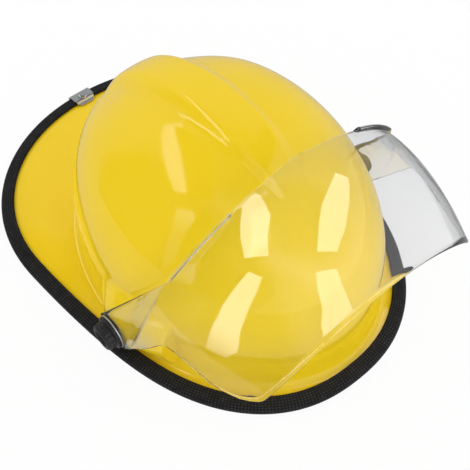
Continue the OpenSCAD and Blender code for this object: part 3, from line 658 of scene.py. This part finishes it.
def makeKnob(name, side, body, node):
    k = knobShape
    g, h = k["grip"], k["length"]
    # Corners: radius, height above the washer, and how far the corner is rounded
    profile = rounded([
        (k["bore"], 0, 0), (g + 2.5, 0, 0.3), (g + 2.5, 1.5, 0.5), (g + 2, 2.1, 0.4), (g + 0.3, 2.6, 0.5),
        (g, 3.2, 0.3), (g, 4.4, 0.5), (g, 5.6, 0.5), (g, h - 2.6, 0.8), (g - 0.4, h - 1.2, 0.7),
        (g - 1.4, h - 0.2, 0.8), (g - 2.4, h, 0.6), (g - 3.6, h - 0.3, 0.6), (g - 4.4, h - 1.4, 0.8),
        (g - 5.2, h - 2.8, 0.8), (k["bore"], h - 3.2, 0)], 0.4)
    reach, height = profile[None, :, 0], profile[None, :, 1]
    turn = turns(k["sides"])
    step = 2 * math.pi / k["flutes"]
    fromFlute = (turn + step / 2) % step - step / 2
    across = k["fluteAt"] * np.sin(fromFlute)
    dent = k["fluteAt"] * np.cos(fromFlute) - np.sqrt(np.maximum(0, k["fluteRadius"] ** 2 - across ** 2))
    limit = np.where(np.abs(across) < k["fluteRadius"], dent, np.inf)[:, None]
    radius = np.where(height > k["fluteFrom"], np.minimum(reach, limit), reach)
    a = turn[:, None]
    grid = points(side * (k["foot"] + height), radius * np.sin(a) - pivot["front"],
                  pivot["z"] - side * radius * np.cos(a))
    knob = gridObject(name, grid, body, blackNylon, ring=True, tube=True, crisp=30)
    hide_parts(node)


makeKnob("clamp_knob_right", -1, "knob_right", "visor_knob_right")
makeKnob("clamp_knob_left", 1, "knob_left", "visor_knob_left")
print("knobs made")


# Rivet of the rear clip, with a low dome
def makeRivet():
    c = clipShape
    t = np.linspace(0, math.pi / 2, 9)[:-1]
    dome = points(c["headRadius"] * np.cos(t) ** c["domePower"],
                  c["seat"] + c["domeFoot"] + (c["dome"] - c["domeFoot"]) * np.sin(t))
    shank = [[c["rivetRadius"], c["foot"]], [c["rivetRadius"], c["seat"]], [c["headRadius"], c["seat"]]]
    radius, z = np.concatenate([shank, dome]).T[:, None]
    turn = turns(c["sides"])[:, None]
    grid = points(radius * np.cos(turn), c["rivetY"] + radius * np.sin(turn), z)
    rivet = gridObject("clip_rivet_domed", grid, "shell", platedSteel, ring=True,
                       poles=[[0, c["rivetY"], c["foot"]], [0, c["rivetY"], c["seat"] + c["dome"]]])
    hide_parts("clip_rivet")


makeRivet()
print("rivet made")


# Sewing: short raised stitches along lines on a surface
stitchShape = {
    "pitch": 3.0, "length": 2.1, "radius": 0.32, "taper": 0.9, "ahead": 0.4, "rings": 5, "sides": 6,
}


def makeStitches(name, lines, body):
    q = stitchShape
    rings, sides = q["rings"], q["sides"]
    along, turn = np.linspace(-1, 1, rings), turns(sides)
    swell = np.sqrt(1 - q["taper"] * along ** 2)
    bead = points(along[:, None] * q["length"] / 2, q["radius"] * swell[:, None] * np.cos(turn),
                  q["radius"] * swell[:, None] * np.sin(turn)).reshape(-1, 3)
    vertices, faces = [], []
    for line, normal in lines:
        run = np.concatenate([[0], np.cumsum(np.linalg.norm(np.diff(line, axis=0), axis=1))])
        for d in np.arange(q["pitch"] / 2, run[-1], q["pitch"]):
            at, ahead = ([np.interp(d + e, run, line[:, c]) for c in range(3)] for e in (0, q["ahead"]))
            up = unit(np.array([np.interp(d, run, normal[:, c]) for c in range(3)]))
            forward = unit(np.array(ahead) - at + 1e-9)
            base, last = len(vertices), len(vertices) + (rings - 1) * sides
            vertices += list(np.array(at) + bead @ np.array([forward, np.cross(up, forward), up]))
            for first in range(base, last, sides):
                for j, k in zip(range(sides), [*range(1, sides), 0]):
                    faces.append([first + j, first + k, first + sides + k, first + sides + j])
            faces += [[end + j for j in range(sides)] for end in (base, last)]
    return makeObject(name, vertices, faces, body, thread)


# Webbing's section: its width first, then its thickness, with a thicker selvedge at each side
def webbingSection(width, thick, selvedge=1.2, bend=0.2):
    w, t = width / 2, thick / 2
    inner, thin = w - selvedge, t * 0.98
    return rounded([(-w, -t), (-inner, -thin, bend), (inner, -thin, bend), (w, -t), (w, t),
                    (inner, thin, bend), (-inner, thin, bend), (-w, t)], t * 0.8)


# Two straps arch over the head, each in an upright plane turned by an angle, with hemmed ends
crownStraps = {
    "width": 20, "thick": 1.6, "span": 98, "foot": 47.5, "top": 128, "apart": 1.9, "turn": 52, "steps": 180,
    "hem": 20, "hemThick": 1.3, "hemIn": 0.4, "hemSteps": 16, "endTilt": 0.01,
    "inset": 2.2, "sewnFrom": 0.15, "sewnTo": 0.9, "sewnSteps": 12, "crossSteps": 8,
}


def strapPath(top, turn, start, end, steps, off=0):
    c = crownStraps
    t = mix(start, end, np.linspace(0, 1, steps))
    out = unit(points(np.cos(t) / c["span"], np.sin(t) / (top - c["foot"])))
    flat = points(c["span"] * np.cos(t), c["foot"] + (top - c["foot"]) * np.sin(t)) + off * out
    x, y = math.cos(math.radians(turn)), math.sin(math.radians(turn))
    path = points(flat[:, 0] * x, flat[:, 0] * y, flat[:, 1])
    outward = points(out[:, 0] * x, out[:, 0] * y, out[:, 1])
    side = np.broadcast_to(np.array([-y, x, 0]), path.shape)
    return path, side, outward


def makeCrownStrap(name, top, turn, node):
    c = crownStraps
    path, side, out = strapPath(top, turn, 0, math.pi, c["steps"])
    strap = gridObject(name, swept(path, side, out, webbingSection(c["width"], c["thick"])),
                       "shell", webbing, tube=True, caps=True)
    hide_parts(node)
    lines = []
    inner = -(c["thick"] / 2 + c["hemThick"] / 2)
    section = webbingSection(c["width"] - c["hemIn"], c["hemThick"])
    hem, w = c["hem"] / c["span"], c["width"] / 2 - c["inset"]
    for end, (start, stop) in enumerate(((c["endTilt"], hem), (math.pi - c["endTilt"], math.pi - hem))):
        path, side, out = strapPath(top, turn, start, stop, c["hemSteps"], inner)
        gridObject(f"{name}_hem_{end}", swept(path, side, out, section),
                   "shell", webbing, tube=True, caps=True)
        sewn = (mix(start, stop, c[key]) for key in ("sewnFrom", "sewnTo"))
        path, side, out = strapPath(top, turn, *sewn, c["sewnSteps"], inner - c["hemThick"] / 2)
        corners = [(path[k] + s * w * side[k], out[k]) for k, s in ((0, -1), (0, 1), (-1, 1), (-1, -1))]
        lines += [(path - w * side, -out), (path + w * side, -out)]
        for first, second in ((0, 1), (2, 3), (0, 2), (1, 3)):
            (p, u), (q, v) = corners[first], corners[second]
            k = np.linspace(0, 1, c["crossSteps"])[:, None]
            lines.append((mix(p, q, k), -mix(u, v, k)))
    makeStitches(f"{name}_sewing", lines, "shell")


makeCrownStrap("webbing_long", crownStraps["top"], crownStraps["turn"], "crown_strap_long")
makeCrownStrap("webbing_cross", crownStraps["top"] + crownStraps["apart"], -crownStraps["turn"],
               "crown_strap_cross")
print("crown straps made")


# Chin strap: webbing on edge, from the anchors to the buckle and round the back
chinStrap = {
    "width": 14, "thick": 1.6, "x": 79.1, "middle": 15, "anchorY": -46, "anchorZ": 10, "plugY": 13,
    "socketY": -17, "pastAnchor": 6.9, "endRound": 0.98, "holeRadius": 2.05, "holeReach": 4,
    "sewnLevels": (-5, 5), "sewnFrom": 6, "sewnTo": 20, "sewnSteps": 8,
}


def makeChinStrap():
    c = chinStrap
    x, z, end = c["x"], c["anchorZ"], c["anchorY"] - c["pastAnchor"]
    section = webbingSection(c["width"], c["thick"])[:, ::-1]
    left = points(x, np.linspace(c["plugY"], c["middle"], 3), z)
    turn = np.radians(np.linspace(0, 180, 90))
    bend = points(x * np.cos(turn), c["middle"] + x * np.sin(turn), z)
    right = points(-x, np.linspace(c["middle"], end, 40), z)
    tail = points(x, np.linspace(c["socketY"], end, 30), z)
    lines = []
    for k, (side, path) in enumerate(((-1, np.concatenate([left[:-1], bend, right[1:]])), (1, tail))):
        forward = unit(np.gradient(path, axis=0))
        up = np.broadcast_to(np.array([0.0, 0, 1]), path.shape)
        grid = swept(path, np.cross(forward, [0, 0, 1]), up, section)
        # The end on its anchor is cut round
        past = np.clip((c["anchorY"] - grid[..., 1]) / (c["width"] / 2), 0, 1)
        grid[..., 2] = z + (grid[..., 2] - z) * np.sqrt(1 - past ** 2 * c["endRound"])
        strap = gridObject(f"chin_webbing_{k}", grid, "chin", webbing, tube=True, caps=True)
        cutWith(strap, [rod(c["holeRadius"], (side * (x - c["holeReach"]), c["anchorY"], z),
                            (side * (x + c["holeReach"]), c["anchorY"], z))])
        if k == 0:
            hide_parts("chin_strap")
        y = c["anchorY"] + np.linspace(c["sewnFrom"], c["sewnTo"], c["sewnSteps"])
        for level in c["sewnLevels"]:
            lines.append((points(side * (x + c["thick"] / 2), y, z + level), points(side + 0 * y, 0, 0)))
    makeStitches("chin_sewing", lines, "chin")


makeChinStrap()
print("chin strap made")


# Padded strips inside the bands: crowned towards the head, sewn down in channels and along both edges
padShape = {
    "headPower": 0.7, "bandPower": 0.35, "edgePower": 0.6, "endShare": 0.35, "endPower": 0.3,
    "endInset": 0.03, "channelDeep": 0.5, "channelWide": 1.3, "channelReach": 0.4, "seamDeep": 0.35,
    "seamWide": 1.2, "seamAt": 0.37, "turnStep": 8, "steps": 240,
}
browPad = {
    "radius": 78.3, "middle": -18, "start": -62, "end": 62, "z": 34, "height": 30, "thick": 7, "channel": 14.1,
}
napePad = {
    "radius": 80, "middle": 16, "start": 118, "end": 242, "z": 30, "height": 19, "thick": 6, "channel": 14.4,
}


def makePad(name, node, body, shape):
    p, q = shape, padShape
    u = np.radians(np.arange(0, 360, q["turnStep"]))
    c, s = np.cos(u), np.sin(u)
    depth = p["thick"] / 2 * np.where(c > 0, np.abs(c) ** q["headPower"], -np.abs(c) ** q["bandPower"])
    height = p["height"] / 2 * np.sign(s) * np.abs(s) ** q["edgePower"]
    share = np.linspace(0, 1, q["steps"])[:, None]
    angle = np.radians(mix(p["start"], p["end"], share))
    inset = mix(q["endInset"], 1 - q["endInset"], share)
    ends = q["endShare"] + (1 - q["endShare"]) * np.sin(math.pi * inset) ** q["endPower"]
    run = (angle - angle[0]) * p["radius"]
    channel = np.abs((run / p["channel"] + 0.5) % 1 - 0.5) * p["channel"]
    inReach = (np.abs(height) < p["height"] * q["channelReach"])[None, :]
    sunk = 1 - q["channelDeep"] * nearby(channel, q["channelWide"]) * inReach
    seam = 1 - q["seamDeep"] * nearby(np.abs(height)[None, :] - p["height"] * q["seamAt"], q["seamWide"])
    puff = np.where(depth > 0, depth * sunk * seam, depth)
    r = p["radius"] - p["thick"] / 2 - puff * ends
    grid = points(r * np.sin(angle), p["middle"] - r * np.cos(angle), p["z"] + height * (0.9 + 0.1 * ends))
    pad = gridObject(name, grid, body, knitCover, tube=True, caps=True)
    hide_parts(node)


makePad("brow_cushion", "brow_pad", "shell", browPad)
makePad("nape_cushion", "nape_pad", "nape", napePad)


# Round pad under the crossing of the straps, sewn in eight sectors
crownPad = {
    "radius": 36, "low": 117.6, "under": -0.4, "over": 8.6, "sag": 3.6, "lobes": 8, "lobeDeep": 0.03,
    "seamDeep": 0.28, "seamWide": 2.2, "columns": 160, "rows": 44, "lastTilt": 87,
}


def makeCrownPad():
    c = crownPad
    turn = turns(c["columns"])[:, None]
    v = np.radians(np.linspace(-c["lastTilt"], c["lastTilt"], c["rows"]))[None, :]
    share = np.cos(v) ** 0.42
    middle, half = (c["over"] + c["under"]) / 2, (c["over"] - c["under"]) / 2
    sector = 2 * math.pi / c["lobes"]
    seam = np.abs((turn / sector + 0.5) % 1 - 0.5) * sector * c["radius"]
    sewn = nearby(seam, c["seamWide"]) * smooth(0.1, 0.5, share) * (1 - smooth(0.93, 1, share))
    radius = c["radius"] * share * (1 - c["lobeDeep"] * np.cos(c["lobes"] * turn))
    rise = half * np.sign(v) * np.abs(np.sin(v)) ** 0.8 * (1 - c["seamDeep"] * sewn)
    z = c["low"] + middle + rise - c["sag"] * share ** 2
    grid = points(radius * np.cos(turn), radius * np.sin(turn), z)
    pad = gridObject("crown_cushion", grid, "shell", knitCover, ring=True,
                     poles=[[0, 0, c["low"] + c["under"]], [0, 0, c["low"] + c["over"]]])
    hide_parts("crown_pad")


makeCrownPad()
print("pads made")


# Foam cap inside the crown, scored in sectors on its inner face
linerShape = {
    "gap": 8.2, "thick": 11, "foot": 8, "rows": 44, "columns": 192, "scores": 12, "scoreDeep": 1.2,
    "scoreWide": 1.6, "meanRadius": 100, "rimRows": 5, "rimRound": 1.2,
}


def makeLiner():
    s, q = shellShape, linerShape
    angles = turns(q["columns"])[:, None]

    def cap(off, tilt):
        rx, ry = s["crownX"] - off, s["crownY"] - off
        r = np.cos(tilt) / np.sqrt((np.sin(angles) / rx) ** 2 + (np.cos(angles) / ry) ** 2)
        z = s["crownMid"] + (s["crownZ"] - off) * np.sin(tilt)
        return points(r * np.sin(angles), -r * np.cos(angles), z)

    tilt = mix(math.pi / 2, math.radians(q["foot"]), np.arange(1, q["rows"] + 1) / q["rows"])[None, :]
    outside = cap(q["gap"] + 0 * tilt, tilt)
    sector = 2 * math.pi / q["scores"]
    fromScore = np.abs(angles / sector % 1 - 0.5) * sector * q["meanRadius"]
    cut = q["scoreDeep"] * nearby(fromScore, q["scoreWide"]) * smooth(0.25, 0.5, np.cos(tilt))
    inside = cap(q["gap"] + q["thick"] - cut, tilt)
    rim = mix(outside[:, -1:], inside[:, -1:], np.linspace(0.1, 0.9, q["rimRows"])[None, :, None])
    rim[..., 2] -= q["rimRound"] * np.array([0.6, 1, 1, 1, 0.6])[None, :]
    top = s["crownMid"] + s["crownZ"] - q["gap"]
    liner = gridObject(
        "foam_cap", np.concatenate([outside, rim, inside[:, ::-1]], 1), "shell", linerFoam,
        ring=True, poles=[[0, 0, top], [0, 0, top - q["thick"]]], crisp=50)
    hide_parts("impact_liner")


makeLiner()
print("liner made")


# CAD pieces that stay as they are get their finish and slightly broken edges
def finish(material, edge, *names):
    for name in names:
        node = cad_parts[name]
        node.data.materials.clear()
        node.data.materials.append(material)
        weld = node.modifiers.new("weld", "WELD")
        weld.merge_threshold = 0.01 * millimetre
        soften = node.modifiers.new("edges", "BEVEL")
        soften.width, soften.segments, soften.limit_method = edge * millimetre, 2, "ANGLE"
        soften.angle_limit = math.radians(35)
        soften.harden_normals = True


finish(platedSteel, 0.25, "rear_clip", "clamp_washers", "pivot_screws", "backing_washers", "chin_anchors",
       "anchor_rivets", "strap_adjuster")
finish(washerRubber, 0.2, "friction_washers")
finish(blackNylon, 0.4, "strap_keys", "headband_front", "nape_band", "ratchet_housing", "ratchet_pinion",
       "ratchet_knob", "chin_cup", "buckle_socket", "buckle_plug", "release_arm_front", "release_arm_rear")
print("finishes set")


# Lights. White surroundings, white paper under the helmet, and lit panes that show in the gloss
lighting = {
    "surround": 1.15, "seen": 1.0, "through": 0.84, "floorRadius": 0.5, "floorSeen": 0.93,
    "floorThrough": 0.75, "floorMirrored": 0.45,
}

# Dark parts of the studio as reflections show them: angle round from the front, angle up, reach and
# fade in degrees, and how dark
darkParts = [(-105, 8, 38, 52, 0.9), (-150, 86, 14, 34, 0.8), (180, 20, 60, 110, 0.6), (-60, 22, 24, 38, 0.6)]


def direction(around, up):
    a, e = math.radians(around), math.radians(up)
    return np.array([math.sin(a) * math.cos(e), -math.cos(a) * math.cos(e), math.sin(e)])


# One surface for light that falls on things, one for reflections, one for what shows through the shield
# and one for the open background. A ray that leaves the shield counts as what it was before it
def byRay(tree, lit, mirrored, through, seen):
    path = tree.nodes.new("ShaderNodeLightPath").outputs
    wasMirrored, wasLit = (addNode(tree, "Math", {0: path[kind], 1: 0.5}, operation="GREATER_THAN")
                           for kind in ("Glossy Depth", "Diffuse Depth"))
    passed = addNode(tree, "MixShader", {0: wasMirrored, 1: through, 2: mirrored})
    passed = addNode(tree, "MixShader", {0: wasLit, 1: passed, 2: lit})
    bounced = addNode(tree, "MixShader", {0: path["Is Glossy Ray"], 1: lit, 2: mirrored})
    indirect = addNode(tree, "MixShader", {0: path["Is Transmission Ray"], 1: bounced, 2: passed})
    return addNode(tree, "MixShader", {0: path["Is Camera Ray"], 1: indirect, 2: seen})


def makeWorld():
    world = bpy.data.worlds.new("white surroundings")
    bpy.context.scene.world = world
    world.use_nodes = True
    tree = world.node_tree
    tree.nodes.clear()
    way = addNode(tree, "TexCoord", output="Generated")
    bright = None
    for around, up, reach, fade, depth in darkParts:
        toward = addNode(tree, "VectorMath", {0: way, 1: direction(around, up)}, "Value",
                         operation="DOT_PRODUCT")
        part = addNode(tree, "MapRange", {
            "Value": toward, "From Min": math.cos(math.radians(fade)),
            "From Max": math.cos(math.radians(reach)), "To Min": 1, "To Max": 1 - depth},
            interpolation_type="SMOOTHSTEP")
        bright = addNode(tree, "Math", {0: bright, 1: part}, operation="MULTIPLY") if bright else part
    levels = {"lit": lighting["surround"], "mirrored": bright, "through": lighting["through"],
              "seen": lighting["seen"]}
    parts = {key: addNode(tree, "Background", {"Color": linear("#ffffff"), "Strength": level})
             for key, level in levels.items()}
    addNode(tree, "OutputWorld", {"Surface": byRay(tree, **parts)})


def stagePiece(name, vertices, faces, surface):
    mesh = bpy.data.meshes.new(name)
    mesh.from_pydata(vertices, [], faces)
    mesh.materials.append(newMaterial(name, surface))
    obj = bpy.data.objects.new(name, mesh)
    bpy.context.collection.objects.link(obj)
    return obj


# White paper: it keeps a faint shadow
def paperSurface(tree):
    paper = addNode(tree, "BsdfDiffuse", {"Color": linear("#f4f4f4")})
    white, dimmer, beyond = (addNode(tree, "Emission", {"Strength": level})
                             for level in (1.0, lighting["floorMirrored"], lighting["through"]))
    through = addNode(tree, "MixShader", {0: lighting["floorThrough"], 1: paper, 2: beyond})
    seen = addNode(tree, "MixShader", {0: lighting["floorSeen"], 1: paper, 2: white})
    return byRay(tree, paper, dimmer, through, seen)


# Lit panes, dimmer towards their feet: light, share of it at the foot, the heights in metres between
# which it grows, and how far off they stand. The panes light the shield and the strips the rest
paneLight = {
    "panes": {"level": 3.0, "foot": 0.3, "low": -0.35, "high": 0.25, "away": 2.0},
    "strips": {"level": 2.8, "foot": 0.25, "low": 2.2, "high": 4.2, "away": 6.0},
}


def paneSurface(kind):
    p = paneLight[kind]

    def surface(tree):
        height = addNode(tree, "SeparateXYZ", {"Vector": place(tree)}, "Z")
        return addNode(tree, "Emission", {
            "Strength": between(tree, height, p["level"] * p["foot"], p["level"], p["low"], p["high"])})
    return surface


# Each pane's corners: where its reflection lies on the object, in millimetres, and the direction it is
# reflected from, as an angle round from the front and an angle up, in degrees
paneCorners = {
    "pane_rear": [(-37, -73, 174, -174.7, 37.5), (-33, -80, 176, -170.2, 57.5), (-37, -94, 174, -133.9, 71.7),
                  (-53, -110, 164, -84.4, 56.0), (-64, -100, 160, -97.6, 44.5), (-49, -80, 170, -142.7, 51.8)],
    "pane_left": [(12, -97, 180, 106.9, 47.4), (16, -105, 178, 97.7, 44.0), (4, -119, 175, 77.7, 57.0),
                  (-21, -136, 167, 7.9, 67.7), (-31, -128, 168, -26.0, 70.9), (-11, -109, 177, 86.4, 74.3)],
    "pane_right": [(-67, -107, 156, -89.8, 40.2), (-63, -115, 156, -80.1, 43.1),
                   (-94, -128, 117, -80.2, -3.7), (-100, -124, 110, -83.9, -11.1),
                   (-104, -110, 110, -91.6, -12.6), (-84, -106, 141, -91.4, 18.5)],
    "pane_front": [(-38, -136, 162, -38.0, 60.3), (-27, -142, 163, -10.9, 62.7), (-34, -165, 148, -19.6, 44.5),
                   (-47, -166, 140, -38.6, 34.0), (-56, -165, 135, -47.1, 26.5), (-47, -152, 149, -41.9, 42.2)],
}
stripCorners = {
    "strip_rear": [(-35, 19, 158, -173.3, 33.1), (-27, 8, 162, -176.6, 42.6), (-47, -19, 154, -123.6, 51.5),
                   (-54, -31, 148, -103.2, 44.7), (-59, -23, 146, -110.1, 38.0), (-49, 1, 154, -144.6, 41.1)],
    "strip_right": [(-64, -32, 140, -101.0, 31.3), (-58, -42, 142, -91.2, 38.7), (-61, -46, 138, -87.2, 33.2),
                    (-75, -51, 121, -87.2, 9.9), (-88, -44, 105, -96.1, -10.8), (-74, -37, 129, -97.4, 16.1)],
}


def makeStage():
    turn = turns(64)
    r = lighting["floorRadius"]
    disc = points(r * np.cos(turn), r * np.sin(turn), -0.5 * millimetre).tolist()
    stagePiece("white paper", disc, [list(range(64))], paperSurface)
    shield = bpy.data.objects["shield_sheet"]
    others = [obj for obj in bpy.data.objects if obj.type == "MESH" and obj != shield]
    for kind, panes, lit in (("panes", paneCorners, [shield]), ("strips", stripCorners, others)):
        receivers = bpy.data.collections.new("lit")
        for obj in lit:
            receivers.objects.link(obj)
        away = paneLight[kind]["away"]
        for name, corners in panes.items():
            vertices = [(np.array(corner[:3]) * millimetre + away * direction(*corner[3:])).tolist()
                        for corner in corners]
            pane = stagePiece(name, vertices, [[0, 1, 5], [1, 2, 5], [2, 3, 5], [3, 4, 5]], paneSurface(kind))
            pane.visible_camera = False
            pane.light_linking.receiver_collection = receivers


makeWorld()
makeStage()
print("lights made")


# Camera: azimuth, elevation and roll in degrees, lengths in metres, lens and sensor in millimetres
cameraShot = {
    "azimuth": 38.47, "elevation": 54.91, "roll": -1.12, "distance": 0.722, "right": 0.00304, "up": 0.0137,
    "shiftY": -0.0063, "lens": 67.137, "sensor": 36,
}


def makeCamera():
    c = cameraShot
    a, e, roll = (math.radians(c[key]) for key in ("azimuth", "elevation", "roll"))
    back = Vector((-math.sin(a) * math.cos(e), -math.cos(a) * math.cos(e), math.sin(e)))
    level = Vector((math.cos(a), -math.sin(a), 0))
    above = back.cross(level)
    right = math.cos(roll) * level + math.sin(roll) * above
    up = math.cos(roll) * above - math.sin(roll) * level
    data = bpy.data.cameras.new("camera")
    data.lens, data.sensor_width, data.sensor_fit = c["lens"], c["sensor"], "HORIZONTAL"
    camera = bpy.data.objects.new("camera", data)
    bpy.context.collection.objects.link(camera)
    spot = c["distance"] * back + c["right"] * right + c["up"] * up + Vector((0, c["shiftY"], 0))
    camera.matrix_world = Matrix.Translation(spot) @ Matrix((right, up, back)).transposed().to_4x4()
    bpy.context.scene.camera = camera


makeCamera()
bpy.context.scene.view_settings.view_transform = "Standard"
print("camera set")
